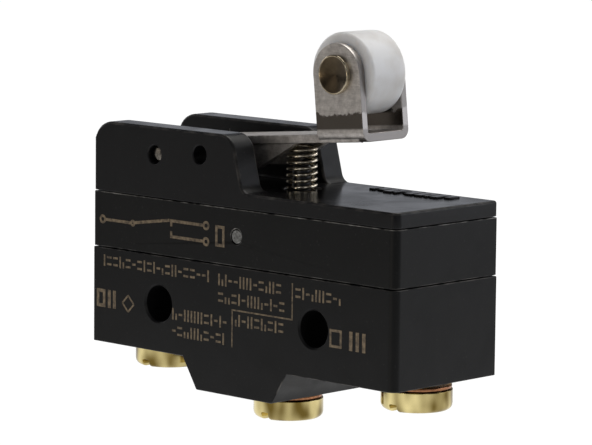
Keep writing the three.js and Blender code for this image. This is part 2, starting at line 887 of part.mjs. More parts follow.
function makeFixedContact(zHeadLow, shankUp) {
  const z1 = zHeadLow + contactHead;
  const radius = contactDiameter / 2;
  const shank = contactShank / 2;
  const reach = seatGap + armThickness;
  const head = [[0, 0], [radius - 0.3, 0], [radius, 0.2], [radius, contactHead]];
  const profile = [...head, [shank, contactHead], [shank, contactHead + reach],
    [0, contactHead + reach]];
  if (shankUp) return turnedZ(profile, xContact, yMiddle, zHeadLow, smallSides);
  const upsideDown = profile.map(([r, h]) => [r, -h]).reverse();
  return turnedZ(upsideDown, xContact, yMiddle, z1, smallSides);
}

addNode("fixed_contact_normally_open", makeFixedContact(zOpenContact, false), silver);
addNode("fixed_contact_normally_closed", makeFixedContact(zClosedContact, true), silver);

// ---------- Snap blade, its rivet, tongue and anchor, and the moving contact ----------

const zBladeTop = zBlade + bladeThickness;
const xBladeStart = xBladeRivet - 1.6;
const xHook = xBladeRivet + 4.1;
const xWindowEnd = xPlunger - 3.2;
const zAnchor = zCommonArm - seatGap - armThickness;

addNode(
  "snap_blade",
  cut(
    box(xBladeStart, xContact + armOverhang, yMiddle - bladeWidth / 2, yMiddle + bladeWidth / 2,
      zBlade, zBladeTop),
    box(xHook - 0.4, xWindowEnd, yMiddle - bladeWindowWidth / 2, yMiddle + bladeWindowWidth / 2,
      zBlade - 1, zBladeTop + 1),
    barZ(xBladeRivet, yMiddle, bladeRivetBore, zBlade - 1, zBladeTop + 1, undefined, smallSides),
    barZ(xContact, yMiddle, contactBore, zBlade - 1, zBladeTop + 1, undefined, smallSides),
  ),
  copper,
);

// The tongue bows up between the anchor's hook and the far end of the window.
function makeTongue() {
  const x0 = xHook + armThickness + 0.3;
  const x1 = xWindowEnd - 0.3;
  const span = x1 - x0;
  const radius = (span * span) / (8 * tongueArch) + tongueArch / 2;
  const half = Math.asin(span / 2 / radius);
  const centreX = (x0 + x1) / 2;
  const centreZ = zBlade + tongueArch - radius;
  const strip = new THREE.Shape();
  strip.absarc(centreX, centreZ, radius + bladeThickness, Math.PI / 2 + half,
    Math.PI / 2 - half, true);
  strip.absarc(centreX, centreZ, radius, Math.PI / 2 - half, Math.PI / 2 + half, false);
  strip.closePath();
  const width = bladeWindowWidth - 0.8;
  return prismY(strip, yMiddle - width / 2, yMiddle + width / 2);
}

addNode("snap_tongue", makeTongue(), copper);

addNode(
  "moving_contact",
  turnedZ(
    [
      [0, 0],
      [contactDiameter / 2 - 0.3, 0],
      [contactDiameter / 2, 0.2],
      [contactDiameter / 2, contactHead],
      [contactShank / 2, contactHead],
      [contactShank / 2, contactHead + bladeThickness + 2 * seatGap],
      [contactDiameter / 2, contactHead + bladeThickness + 2 * seatGap],
      [contactDiameter / 2, 2 * contactHead + bladeThickness + 2 * seatGap - 0.2],
      [contactDiameter / 2 - 0.3, 2 * contactHead + bladeThickness + 2 * seatGap],
      [0, 2 * contactHead + bladeThickness + 2 * seatGap],
    ],
    xContact,
    yMiddle,
    zMovingContact,
    smallSides,
  ),
  silver,
);

addNode(
  "tension_anchor",
  cut(
    join(
      box(xBladeStart, xHook + armThickness, yMiddle - 1.3, yMiddle + 1.3,
        zAnchor, zAnchor + armThickness),
      box(xHook, xHook + armThickness, yMiddle - 1.2, yMiddle + 1.2, zAnchor, zBladeTop + 0.9),
    ),
    barZ(xBladeRivet, yMiddle, bladeRivetBore, zAnchor - 1, zAnchor + 1, undefined, smallSides),
  ),
  brass,
);

const bladeRivetHead = bladeRivetDiameter / 2 + 0.5;
const bladeRivetHeadHeight = 0.4;
const zRivetLow = zAnchor - seatGap;
const zRivetHigh = zBladeTop + 0.15;

addNode(
  "blade_rivet",
  turnedZ(
    [
      [0, zRivetLow - bladeRivetHeadHeight],
      [bladeRivetHead, zRivetLow - bladeRivetHeadHeight],
      [bladeRivetHead, zRivetLow],
      [bladeRivetDiameter / 2, zRivetLow],
      [bladeRivetDiameter / 2, zRivetHigh],
      [bladeRivetHead, zRivetHigh],
      [bladeRivetHead, zRivetHigh + bladeRivetHeadHeight],
      [0, zRivetHigh + bladeRivetHeadHeight],
    ],
    xBladeRivet,
    yMiddle,
    0,
    smallSides,
  ),
  brass,
);

export default limitSwitch;
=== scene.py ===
import json
from math import cos, pi, radians, sin
from random import Random

import bmesh
import bpy
from mathutils import Matrix, Vector


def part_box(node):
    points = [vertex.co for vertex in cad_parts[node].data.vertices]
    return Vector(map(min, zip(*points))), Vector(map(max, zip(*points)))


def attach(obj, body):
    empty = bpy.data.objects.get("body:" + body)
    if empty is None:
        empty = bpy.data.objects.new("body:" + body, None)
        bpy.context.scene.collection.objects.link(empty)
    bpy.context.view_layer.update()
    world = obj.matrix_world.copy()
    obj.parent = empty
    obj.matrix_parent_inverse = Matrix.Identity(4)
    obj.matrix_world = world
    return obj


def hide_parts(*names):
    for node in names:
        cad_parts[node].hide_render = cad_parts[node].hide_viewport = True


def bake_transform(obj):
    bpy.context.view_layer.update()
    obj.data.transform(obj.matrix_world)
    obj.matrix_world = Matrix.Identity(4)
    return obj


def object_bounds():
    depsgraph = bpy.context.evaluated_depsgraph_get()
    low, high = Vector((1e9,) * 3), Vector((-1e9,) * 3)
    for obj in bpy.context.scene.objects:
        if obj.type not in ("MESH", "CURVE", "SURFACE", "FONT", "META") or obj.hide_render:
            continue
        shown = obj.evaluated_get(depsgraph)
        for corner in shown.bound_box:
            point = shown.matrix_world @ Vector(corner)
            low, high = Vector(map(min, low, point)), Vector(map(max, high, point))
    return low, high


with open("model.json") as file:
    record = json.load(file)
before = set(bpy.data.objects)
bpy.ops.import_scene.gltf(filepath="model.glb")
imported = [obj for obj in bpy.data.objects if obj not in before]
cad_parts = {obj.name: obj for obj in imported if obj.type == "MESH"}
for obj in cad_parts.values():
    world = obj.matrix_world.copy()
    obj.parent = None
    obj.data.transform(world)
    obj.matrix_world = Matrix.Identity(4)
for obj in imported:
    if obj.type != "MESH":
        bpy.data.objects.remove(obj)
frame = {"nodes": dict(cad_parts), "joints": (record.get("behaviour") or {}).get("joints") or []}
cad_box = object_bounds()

# ---------- Camera ----------
# A long lens looks at the front and the free end of the switch from a little above its middle.
# All lengths in this file are in millimetres and are turned to metres as they are used.

MM = 0.001

camera_azimuth = radians(43.715)
camera_elevation = radians(7.558)
camera_roll = radians(0.6045)
camera_distance = 396.8
camera_aim = Vector((0.503, -7.66, 10.202)) * MM

camera_data = bpy.data.cameras.new("camera")
camera_data.lens = 204.38
camera_data.sensor_width = 36
camera = bpy.data.objects.new("camera", camera_data)
towards_camera = Vector((
    sin(camera_azimuth) * cos(camera_elevation),
    -cos(camera_azimuth) * cos(camera_elevation),
    sin(camera_elevation),
))
turned = (
    Matrix.Rotation(camera_azimuth, 4, "Z")
    @ Matrix.Rotation(pi / 2 - camera_elevation, 4, "X")
    @ Matrix.Rotation(camera_roll, 4, "Z")
)
camera.matrix_world = Matrix.Translation(camera_aim + towards_camera * camera_distance * MM) @ turned
bpy.context.scene.collection.objects.link(camera)
bpy.context.scene.camera = camera

# ---------- Floor and light ----------
# A pale studio sweep: a matt white floor, a large softbox overhead, others behind the switch and at
# both ends, and weak ones in front. The room beyond is dim, so black mouldings stay black.


def linear(colour):
    """An sRGB hex colour as the linear RGBA that shaders take."""
    channels = [int(colour[i : i + 2], 16) / 255 for i in (1, 3, 5)]
    return [c / 12.92 if c <= 0.04045 else ((c + 0.055) / 1.055) ** 2.4 for c in channels] + [1.0]


def add_node(tree, kind, settings=None, links=None):
    """A new shader node with its settings, by socket name, socket number or property, and its links."""
    made = tree.nodes.new(kind)
    for key, value in (settings or {}).items():
        if isinstance(key, int) or key in made.inputs:
            made.inputs[key].default_value = value
        else:
            setattr(made, key, value)
    for key, socket in (links or {}).items():
        tree.links.new(socket, made.inputs[key])
    return made


def show(mesh, name):
    """A mesh as an object in the scene."""
    piece = bpy.data.objects.new(name, mesh)
    bpy.context.scene.collection.objects.link(piece)
    return piece


scene_world = bpy.data.worlds.new("dim_room")
bpy.context.scene.world = scene_world
scene_world.use_nodes = True
room = scene_world.node_tree
room.nodes.clear()
light_path = add_node(room, "ShaderNodeLightPath")
dim = add_node(room, "ShaderNodeBackground", {"Color": linear("#c4c8d2"), "Strength": 0.15})
white = add_node(room, "ShaderNodeBackground", {"Color": linear("#ffffff"), "Strength": 1.0})
either = add_node(room, "ShaderNodeMixShader", {}, {
    0: light_path.outputs["Is Camera Ray"], 1: dim.outputs[0], 2: white.outputs[0],
})
add_node(room, "ShaderNodeOutputWorld", {}, {"Surface": either.outputs[0]})
bpy.context.scene.view_settings.view_transform = "Standard"

floor_mesh = bpy.data.meshes.new("floor")
floor_reach = 6000 * MM
floor_level = cad_box[0][2]
floor_mesh.from_pydata(
    [(x, y, floor_level) for x, y in ((-1, -1), (1, -1), (1, 1), (-1, 1))], [], [(0, 1, 2, 3)],
)
floor_mesh.transform(Matrix.Diagonal((floor_reach, floor_reach, 1, 1)))
floor = show(floor_mesh, "floor")


def blank_material(name):
    """A new material with an empty node tree, and that tree."""
    material = bpy.data.materials.new(name)
    material.use_nodes = True
    material.node_tree.nodes.clear()
    return material, material.node_tree


# White card: matt, lifted towards white where it is looked at directly, as an exposed sweep is, and
# with a painted pool of light round the switch that glows for every ray, which the brass and the tapered
# skirt mirror.
painted_pool_inner = 40 * MM
painted_pool_outer = 105 * MM
painted_pool_lift = 0.75
direct_lift = 0.9
card_glow = 1.12
card, tree = blank_material("white_card")
seen = add_node(tree, "ShaderNodeLightPath")
lift = add_node(tree, "ShaderNodeMath", {"operation": "MULTIPLY", 1: direct_lift},
                {0: seen.outputs["Is Camera Ray"]})
spot = add_node(tree, "ShaderNodeTexCoord")
away = add_node(tree, "ShaderNodeVectorMath", {"operation": "LENGTH"}, {0: spot.outputs["Object"]})
# Painted light: a glowing pool on the card round the switch, fading out with distance.
painted_light_pool = add_node(tree, "ShaderNodeMapRange", {
    "From Min": painted_pool_inner, "From Max": painted_pool_outer, "To Min": painted_pool_lift, "To Max": 0.0,
}, {"Value": away.outputs["Value"]})
lift_and_painted_pool = add_node(tree, "ShaderNodeMath", {"operation": "MAXIMUM"},
                  {0: lift.outputs[0], 1: painted_light_pool.outputs["Result"]})
matt = add_node(tree, "ShaderNodeBsdfDiffuse", {"Color": linear("#cfcfcf")})
glow = add_node(tree, "ShaderNodeEmission", {"Color": linear("#ffffff"), "Strength": card_glow})
lifted = add_node(tree, "ShaderNodeMixShader", {},
                  {0: lift_and_painted_pool.outputs[0], 1: matt.outputs[0], 2: glow.outputs[0]})
add_node(tree, "ShaderNodeOutputMaterial", {}, {"Surface": lifted.outputs[0]})
floor_mesh.materials.append(card)


def softbox(name, place, width, height, watts, colour):
    """A rectangular lamp at a place in millimetres, turned to face the switch."""
    data = bpy.data.lights.new(name, "AREA")
    data.shape = "RECTANGLE"
    data.size = width * MM
    data.size_y = height * MM
    data.energy = watts
    data.color = linear(colour)[:3]
    lamp = bpy.data.objects.new(name, data)
    lamp.location = Vector(place) * MM
    lamp.rotation_euler = (camera_aim - lamp.location).to_track_quat("-Z", "Y").to_euler()
    bpy.context.scene.collection.objects.link(lamp)


# A black face shows mostly the lamp that it mirrors: front_fill for the front of the switch,
# behind_free_end for its free end, and behind_hinge_end for its top.
softbox("overhead", (0, 140, 420), 320, 320, 1.5, "#fffdf8")
softbox("behind_free_end", (330, 330, 40), 300, 340, 0.6, "#f4f7ff")
softbox("behind_hinge_end", (-330, 360, 120), 300, 160, 0.05, "#f4f7ff")
softbox("front_fill", (-260, -330, 90), 240, 200, 0.06, "#fff6ea")
softbox("high_front", (150, -420, 260), 120, 120, 0.14, "#ffffff")
softbox("small_front", (10, -400, 16), 60, 50, 0.09, "#fff4e2")
softbox("right_front", (460, -160, 190), 160, 240, 0.12, "#ffffff")
softbox("back_fill", (60, 470, 200), 220, 180, 0.4, "#ffffff")
softbox("hinge_end_fill", (-470, -60, 160), 200, 180, 0.3, "#ffffff")

# ---------- Lower case ----------
# The lower case is compression-moulded from black phenolic, with two bosses for the mounting screws
# and a tapered skirt under the middle terminal. Its edges come out of the mould slightly rounded.

case_edge = 0.1
lower_wear_and_highlight = 0.35
any_height = -1000
square_corner = 60
PHENOLIC_IOR = 1.6
flow_size = 9
filler_grain = 0.35
edge_patch_size = 1.6
smudge_size = 5


def phenolic(name, tone, light_tone, roughness, top_roughness, gloss, wear_and_highlight_tone="#4a4744"):
    """Moulded phenolic: near-black with a faint brown cast, a soft skin over fine filler grain.
    Flat tops can be smoother than walls, and rounded edges are painted a paler grey: partly edge wear,
    partly a painted edge highlight."""
    material, tree = blank_material(name)
    place = add_node(tree, "ShaderNodeTexCoord")
    flow = add_node(tree, "ShaderNodeTexNoise", {
        "Scale": 1 / (flow_size * MM), "Detail": 3.0, "Roughness": 0.55,
    }, {"Vector": place.outputs["Object"]})
    filler = add_node(tree, "ShaderNodeTexNoise", {"Scale": 1 / (filler_grain * MM), "Detail": 2.0},
                      {"Vector": place.outputs["Object"]})
    specks = add_node(tree, "ShaderNodeMapRange", {"From Min": 0.66, "From Max": 0.76},
                      {"Value": filler.outputs["Fac"]})
    tones = add_node(tree, "ShaderNodeValToRGB", {}, {"Fac": flow.outputs["Fac"]})
    tones.color_ramp.elements[0].position = 0.3
    tones.color_ramp.elements[0].color = linear(tone)
    tones.color_ramp.elements[1].position = 0.72
    tones.color_ramp.elements[1].color = linear(light_tone)
    speckled = add_node(tree, "ShaderNodeMix", {"data_type": "RGBA", 7: linear("#201f1f")},
                        {0: specks.outputs["Result"], 6: tones.outputs["Color"]})
    rounded_edges = add_node(tree, "ShaderNodeAttribute", {"attribute_name": "rounded"})
    patchy = add_node(tree, "ShaderNodeTexNoise", {"Scale": 1 / (edge_patch_size * MM), "Detail": 5.0},
                      {"Vector": place.outputs["Object"]})
    patches = add_node(tree, "ShaderNodeMapRange", {"From Min": 0.4, "From Max": 0.75, "To Max": 0.8},
                       {"Value": patchy.outputs["Fac"]})
    wear_and_highlight = add_node(tree, "ShaderNodeMath", {"operation": "MULTIPLY"},
                    {0: rounded_edges.outputs["Fac"], 1: patches.outputs["Result"]})
    # Painted highlight: rounded edges are mixed towards a pale tone, partly edge wear and partly light
    # caught by the edges.
    worn_and_highlit = add_node(tree, "ShaderNodeMix", {"data_type": "RGBA", 7: linear(wear_and_highlight_tone)},
                    {0: wear_and_highlight.outputs[0], 6: speckled.outputs[2]})
    facing = add_node(tree, "ShaderNodeSeparateXYZ", {}, {0: place.outputs["Normal"]})
    level = add_node(tree, "ShaderNodeMapRange", {
        "From Min": 0.9, "From Max": 0.99, "To Min": roughness, "To Max": top_roughness,
    }, {"Value": facing.outputs["Z"]})
    smudge = add_node(tree, "ShaderNodeTexNoise", {
        "Scale": 1 / (smudge_size * MM), "Detail": 4.0, "Distortion": 0.8,
    }, {"Vector": place.outputs["Object"]})
    smudges = add_node(tree, "ShaderNodeMapRange", {
        "From Min": 0.35, "From Max": 0.7, "To Min": -0.05, "To Max": 0.08,
    }, {"Value": smudge.outputs["Fac"]})
    rough = add_node(tree, "ShaderNodeMath", {"operation": "ADD"},
                     {0: level.outputs["Result"], 1: smudges.outputs["Result"]})
    skin = add_node(tree, "ShaderNodeBump", {"Strength": 0.35, "Distance": 0.012 * MM},
                    {"Height": filler.outputs["Fac"]})
    shader = add_node(tree, "ShaderNodeBsdfPrincipled", {
        "IOR": PHENOLIC_IOR, "Specular IOR Level": gloss,
    }, {
        "Base Color": worn_and_highlit.outputs[2], "Roughness": rough.outputs[0], "Normal": skin.outputs["Normal"],
    })
    add_node(tree, "ShaderNodeOutputMaterial", {}, {"Surface": shader.outputs[0]})
    return material


def smoothed(piece, sharp_angle=35):
    """Smooth shading that stays crisp at sharp edges and flat on flat faces."""
    piece.data.shade_smooth()
    piece.data.set_sharp_from_angle(angle=radians(sharp_angle))
    even = piece.modifiers.new("even_shading", "WEIGHTED_NORMAL")
    even.keep_sharp = True
    even.weight = 100
    return piece


def round_over(mesh, radius, sharp_angle, above, mark, wear_and_highlight):
    """Rounds the sharp edges that lie above a height in millimetres, and marks how pale the new faces are
    painted, as edge wear and painted highlight.
    """
    sharp = [
        edge for edge in mesh.edges
        if len(edge.link_faces) == 2 and edge.calc_face_angle() > radians(sharp_angle)
        and min(corner.co.z for corner in edge.verts) > above * MM
    ]
    made = bmesh.ops.bevel(
        mesh, geom=sharp, offset=radius * MM, segments=3, profile=0.5, affect="EDGES", clamp_overlap=False,
    )
    for face in made["faces"]:
        face[mark] = wear_and_highlight


def eased(node, name, radius, material, body, sharp_angle=40, top=None):
    """A node's solid with its sharp edges rounded over by a radius. The attribute rounded marks how pale
    they are painted, partly as edge wear and partly as a painted edge highlight. top gives the radius of
    the edges above a height, which are painted fully pale, while the others then keep a lower share. No
    corner leaves the node's box."""
    mesh = bmesh.new()
    mesh.from_mesh(frame["nodes"][node].data)
    bmesh.ops.remove_doubles(mesh, verts=mesh.verts, dist=0.0005 * MM)
    bmesh.ops.dissolve_limit(mesh, angle_limit=radians(0.6), verts=mesh.verts, edges=mesh.edges)
    bmesh.ops.recalc_face_normals(mesh, faces=mesh.faces)
    mark = mesh.faces.layers.float.new("rounded")
    if top:
        round_over(mesh, top[0], sharp_angle, top[1], mark, 1.0)
    round_over(mesh, radius, sharp_angle, any_height, mark, lower_wear_and_highlight if top else 1.0)
    low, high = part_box(node)
    for corner in mesh.verts:
        corner.co = [min(max(at, least), most) for at, least, most in zip(corner.co, low, high)]
    data = bpy.data.meshes.new(name)
    mesh.to_mesh(data)
    mesh.free()
    data.materials.append(material)
    piece = smoothed(show(data, name))
    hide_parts(node)
    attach(piece, body)
    return piece


# The pale edge tone is partly edge wear and partly a painted edge highlight.
case_phenolic = phenolic(
    "case_phenolic", "#060607", "#0b0b0b",
    roughness=0.44, top_roughness=0.42, gloss=0.15, wear_and_highlight_tone="#6a6763",
)
eased("lower_case", "case_moulding", case_edge, case_phenolic, "housing", square_corner)

# ---------- Upper cover ----------
# The cover is a second black phenolic moulding. Its lip drops into the case, and its walls stand
# back a little, which leaves a fine shadow line. Its edges are painted pale, palest along the top,
# partly as scraped flash and partly as a painted highlight along the seam.

cover_edge = 0.1
cover_phenolic = phenolic(
    "cover_phenolic", "#060606", "#0a0a0a",
    roughness=0.42, top_roughness=0.42, gloss=0.15, wear_and_highlight_tone="#c0bdb7",
)
cover_low, cover_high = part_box("upper_cover")
eased("upper_cover", "cover_moulding", cover_edge, cover_phenolic, "housing",
      square_corner, (cover_edge, (cover_low.z + cover_high.z) / 2 / MM))

# ---------- Ear bracket ----------
# The bracket is the third moulding: a plate with two tall ears that carry the hinge pin. The mould
# for its top was polished, so the top face mirrors softly while the walls stay satin.

bracket_edge = 0.08
bracket_top_edge = 0.3
bracket_top_from = cover_high.z / MM + 0.5
bracket_phenolic = phenolic(
    "bracket_phenolic", "#060608", "#0b0b0d",
    roughness=0.4, top_roughness=0.2, gloss=0.18,
)
eased("ear_bracket", "ear_bracket_moulding", bracket_edge, bracket_phenolic, "housing",
      square_corner, (bracket_top_edge, bracket_top_from))

# Low raised bars along the back edge of the top face stand where a maker would mould a mark.
raised_height = 0.22
raised_root = 0.05
raised_round = 0.07
raised_shift = 0.7
raised_first_x, raised_last_x = 8.4, 21.0
raised_near_y, raised_far_y = -4.3, -1.7


def slab(mesh, corners, depth):
    """A closed slab: a loop of corners and the same loop moved by depth."""
    base = [mesh.verts.new(corner * MM) for corner in corners]
    top = [mesh.verts.new((corner + depth) * MM) for corner in corners]
    mesh.faces.new(base)
    mesh.faces.new(list(reversed(top)))
    for i in range(len(corners)):
        j = (i + 1) % len(corners)
        mesh.faces.new((base[j], base[i], top[i], top[j]))


def finished(mesh, name, material, body, sharp_angle=35):
    """A mesh of the builder's own as a piece that rides on a body and takes its finish from a slot."""
    bmesh.ops.recalc_face_normals(mesh, faces=mesh.faces)
    data = bpy.data.meshes.new(name)
    mesh.to_mesh(data)
    mesh.free()
    data.materials.append(material)
    piece = smoothed(show(data, name), sharp_angle)
    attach(piece, body)
    return piece


# The top face is the widest level one near the free end.
near_free_end = 18
plate_top = max(
    (face for face in frame["nodes"]["ear_bracket"].data.polygons
     if face.normal.z > 0.99 and face.center.x > near_free_end * MM),
    key=lambda face: face.area,
).center.z / MM

raised = bmesh.new()
draw = Random(11)
x = raised_first_x
foot = plate_top - raised_root
while x < raised_last_x:
    width = draw.choice((0.55, 0.8, 1.15))
    near = raised_near_y + draw.choice((0.0, 0.0, raised_shift))
    far = raised_far_y - draw.choice((0.0, 0.0, raised_shift))
    outline = ((x, near), (x + width, near), (x + width, far), (x, far))
    slab(raised, [Vector((*point, foot)) for point in outline], Vector((0, 0, raised_height + raised_root)))
    x += width + draw.choice((0.35, 0.5))
bmesh.ops.recalc_face_normals(raised, faces=raised.faces)
bmesh.ops.bevel(
    raised, geom=raised.edges[:], offset=raised_round * MM, segments=2, profile=0.5, affect="EDGES",
)
finished(raised, "raised_bars", bracket_phenolic, "housing")

# ---------- Printed marks ----------
# Thin brown-grey ink is pad-printed on the front: a change-over contact diagram on the cover, and
# rows of plain bars and rules on the case. They say nothing and only fill the places of print.

ink_height = 0.012
ink_root = 0.03
ink_patch = 0.5


def ink():
    """Pad-printed epoxy ink: matt, a little thin, so that the black shows through in places."""
    material, tree = blank_material("print_ink")
    place = add_node(tree, "ShaderNodeTexCoord")
    thin = add_node(tree, "ShaderNodeTexNoise", {"Scale": 1 / (ink_patch * MM), "Detail": 4.0},
                    {"Vector": place.outputs["Object"]})
    cover = add_node(tree, "ShaderNodeValToRGB", {}, {"Fac": thin.outputs["Fac"]})
    cover.color_ramp.elements[0].position = 0.3
    cover.color_ramp.elements[0].color = linear("#4a4138")
    cover.color_ramp.elements[1].position = 0.62
    cover.color_ramp.elements[1].color = linear("#86765f")
    bumps = add_node(tree, "ShaderNodeBump", {"Strength": 0.3, "Distance": 0.01 * MM},
                     {"Height": thin.outputs["Fac"]})
    shader = add_node(tree, "ShaderNodeBsdfPrincipled", {"Roughness": 0.6, "Specular IOR Level": 0.25}, {
        "Base Color": cover.outputs["Color"], "Normal": bumps.outputs["Normal"],
    })
    add_node(tree, "ShaderNodeOutputMaterial", {}, {"Surface": shader.outputs[0]})
    return material


case_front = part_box("lower_case")[0].y / MM
cover_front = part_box("upper_cover")[0].y / MM


def stroke(mesh, face, start, end, width):
    """One straight line of ink between two points (x, z) of a front face."""
    first = Vector((start[0], face + ink_root, start[1]))
    last = Vector((end[0], face + ink_root, end[1]))
    along = (last - first).normalized()
    side = Vector((-along.z, 0, along.x)) * width / 2
    corners = [first - side, last - side, last + side, first + side]
    slab(mesh, corners, Vector((0, -ink_root - ink_height, 0)))


def ring(mesh, face, centre, radius, width, steps=20):
    """A circle of ink round a point (x, z) of a front face, as a closed band."""
    x, z = centre
    inner = radius - width
    turns = [2 * pi * i / steps for i in range(steps)]
    loops = []
    for size, y in ((radius, ink_root), (inner, ink_root), (inner, -ink_height), (radius, -ink_height)):
        loops.append([
            mesh.verts.new(Vector((x + size * cos(turn), face + y, z + size * sin(turn))) * MM)
            for turn in turns
        ])
    for a, b in zip(loops, loops[1:] + loops[:1]):
        for i in range(steps):
            j = (i + 1) % steps
            mesh.faces.new((a[i], a[j], b[j], b[i]))


def hollow(mesh, face, x0, x1, z0, z1, width):
    """A hollow block of ink with its lower left corner at (x0, z0)."""
    half = width / 2
    stroke(mesh, face, (x0 + half, z0), (x0 + half, z1), width)
    stroke(mesh, face, (x1 - half, z0), (x1 - half, z1), width)
    stroke(mesh, face, (x0 + width, z0 + half), (x1 - width, z0 + half), width)
    stroke(mesh, face, (x0 + width, z1 - half), (x1 - width, z1 - half), width)


row_height = 1.4
row_width = 0.26
row_gap = 0.3
row_end = 0.9
short_share = 0.55
dash_length = 0.6
pair_length = 0.8


def bar_row(mesh, face, x0, x1, z, seed):
    """A row of bars and dashes of several lengths, which stands where a line of print would."""
    draw = Random(seed)
    x = x0
    while x < x1 - row_end:
        kind = draw.choice(("bar", "bar", "short", "dash", "pair"))
        if kind in ("bar", "short"):
            reach = row_height if kind == "bar" else row_height * short_share
            stroke(mesh, face, (x + row_width / 2, z), (x + row_width / 2, z + reach), row_width)
            x += row_width + row_gap
            continue
        length, levels = (dash_length, (0.5,)) if kind == "dash" else (pair_length, (0.2, 0.8))
        for level in levels:
            line = z + level * row_height
            stroke(mesh, face, (x, line), (x + length, line), row_width)
        x += length + row_gap


# The diagram: a common end, a pivot, and a blade that leans on the upper of two throws.
print_ink = ink()
diagram = bmesh.new()
diagram_line, ring_line = 0.36, 0.3
end_radius, pivot_radius, pivot_reach = 0.55, 0.42, 0.4
common_x, pivot_x, tip_x, throw_x = -22.45, -17.2, -10.6, -4.75
tip_length = 0.85
low, high = 8.1, 10.35
middle = (low + high) / 2
stroke(diagram, cover_front, (common_x + end_radius, middle), (pivot_x - pivot_reach, middle), diagram_line)
ring(diagram, cover_front, (common_x, middle), end_radius, ring_line)
ring(diagram, cover_front, (pivot_x, middle), pivot_radius, ring_line)
blade_start, blade_end = (pivot_x + pivot_reach, middle + 0.1), (tip_x - 0.3, high - 0.15)
stroke(diagram, cover_front, blade_start, blade_end, diagram_line)
for level, inward in ((high, -1), (low, 1)):
    tip_low, tip_high = sorted((level, level + inward * tip_length))
    line = level + inward * diagram_line / 2
    throw_start, throw_end = (tip_x + diagram_line / 2, line), (throw_x - end_radius, line)
    stroke(diagram, cover_front, (tip_x, tip_low), (tip_x, tip_high), diagram_line)
    stroke(diagram, cover_front, throw_start, throw_end, diagram_line)
    ring(diagram, cover_front, (throw_x, line), end_radius, ring_line)
hollow(diagram, cover_front, -3.2, -1.7, 7.9, 10.4, diagram_line)
finished(diagram, "printed_contact_diagram", print_ink, "housing")

# The rows, each from one x to another at its height, and the two rules that part them.
rows = bmesh.new()
first_seed = 3
rule_line, rule_left, rule_right, rule_level = 0.18, -0.27, 9.4, 0.72
for seed, (x0, x1, z) in enumerate((
    (-22.2, -3.3, 3.55), (-2.6, 8.8, 3.35), (-2.6, 8.8, 1.3), (9.9, 18.0, 3.2),
    (0.2, 8.6, -1.15), (-10.3, -0.7, -1.6), (-10.3, -0.7, -3.6),
)):
    bar_row(rows, case_front, x0, x1, z, first_seed + seed)
for start, end in (
    ((rule_left, rule_level), (rule_right, rule_level)),
    ((rule_right, rule_level - rule_line / 2), (rule_right, 4.95)),
    ((rule_left, rule_level + rule_line / 2), (rule_left, -3.7)),
):
    stroke(rows, case_front, start, end, rule_line)

# Plain marks beside the mounting holes: a hollow block, thick bars and a diamond.
bar_line, diamond_line, diamond_radius = 0.5, 0.22, 1.0
diamond_x, diamond_z = -17.9, -0.6
hollow(rows, case_front, -23.4, -21.9, -1.5, 0.7, 0.42)
for bar_x in (-21.2, -20.3):
    stroke(rows, case_front, (bar_x, -1.5), (bar_x, 0.7), bar_line)
points = [
    (diamond_x + diamond_radius * cos(turn), diamond_z + diamond_radius * sin(turn))
    for turn in (corner * pi / 2 for corner in range(5))
]
for start, end in zip(points, points[1:]):
    stroke(rows, case_front, start, end, diamond_line)
hollow(rows, case_front, 15.3, 17.2, -1.7, 0.4, 0.3)
for bar_x in (18.6, 19.6, 20.6):
    stroke(rows, case_front, (bar_x, -1.75), (bar_x, 0.45), bar_line)
finished(rows, "printed_rows", print_ink, "housing")

# ---------- Cover pins ----------
# Short pins of soft white metal lock the bracket's tongues in the cover. Their ends were cut off
# flush and left torn, so each shows as a mottled grey dot.

tarnish_size = 2.6


def metal(name, dark, light, roughness, grain, spread, depth, stretch=(1, 1, 1), detail=5.0):
    """A bare metal: two tones in grains of a real size, drawn out along the way it was worked, with
    a roughness that tarnish spreads up and down, and grain marks of a depth in millimetres."""
    material, tree = blank_material(name)
    place = add_node(tree, "ShaderNodeTexCoord")
    drawn = add_node(tree, "ShaderNodeMapping", {"Scale": stretch}, {"Vector": place.outputs["Object"]})
    grains = add_node(tree, "ShaderNodeTexNoise", {
        "Scale": 1 / (grain * MM), "Detail": detail, "Roughness": 0.65,
    }, {"Vector": drawn.outputs[0]})
    tones = add_node(tree, "ShaderNodeValToRGB", {}, {"Fac": grains.outputs["Fac"]})
    tones.color_ramp.elements[0].position = 0.3
    tones.color_ramp.elements[0].color = linear(dark)
    tones.color_ramp.elements[1].position = 0.7
    tones.color_ramp.elements[1].color = linear(light)
    tarnish = add_node(tree, "ShaderNodeTexNoise", {"Scale": 1 / (tarnish_size * MM), "Detail": 3.0},
                       {"Vector": place.outputs["Object"]})
    rough = add_node(tree, "ShaderNodeMapRange", {
        "From Min": 0.3, "From Max": 0.7, "To Min": roughness - spread, "To Max": roughness + spread,
    }, {"Value": tarnish.outputs["Fac"]})
    marks = add_node(tree, "ShaderNodeBump", {"Strength": 0.5, "Distance": depth * MM},
                     {"Height": grains.outputs["Fac"]})
    shader = add_node(tree, "ShaderNodeBsdfPrincipled", {"Metallic": 1.0}, {
        "Base Color": tones.outputs["Color"], "Roughness": rough.outputs["Result"],
        "Normal": marks.outputs["Normal"],
    })
    add_node(tree, "ShaderNodeOutputMaterial", {}, {"Surface": shader.outputs[0]})
    return material


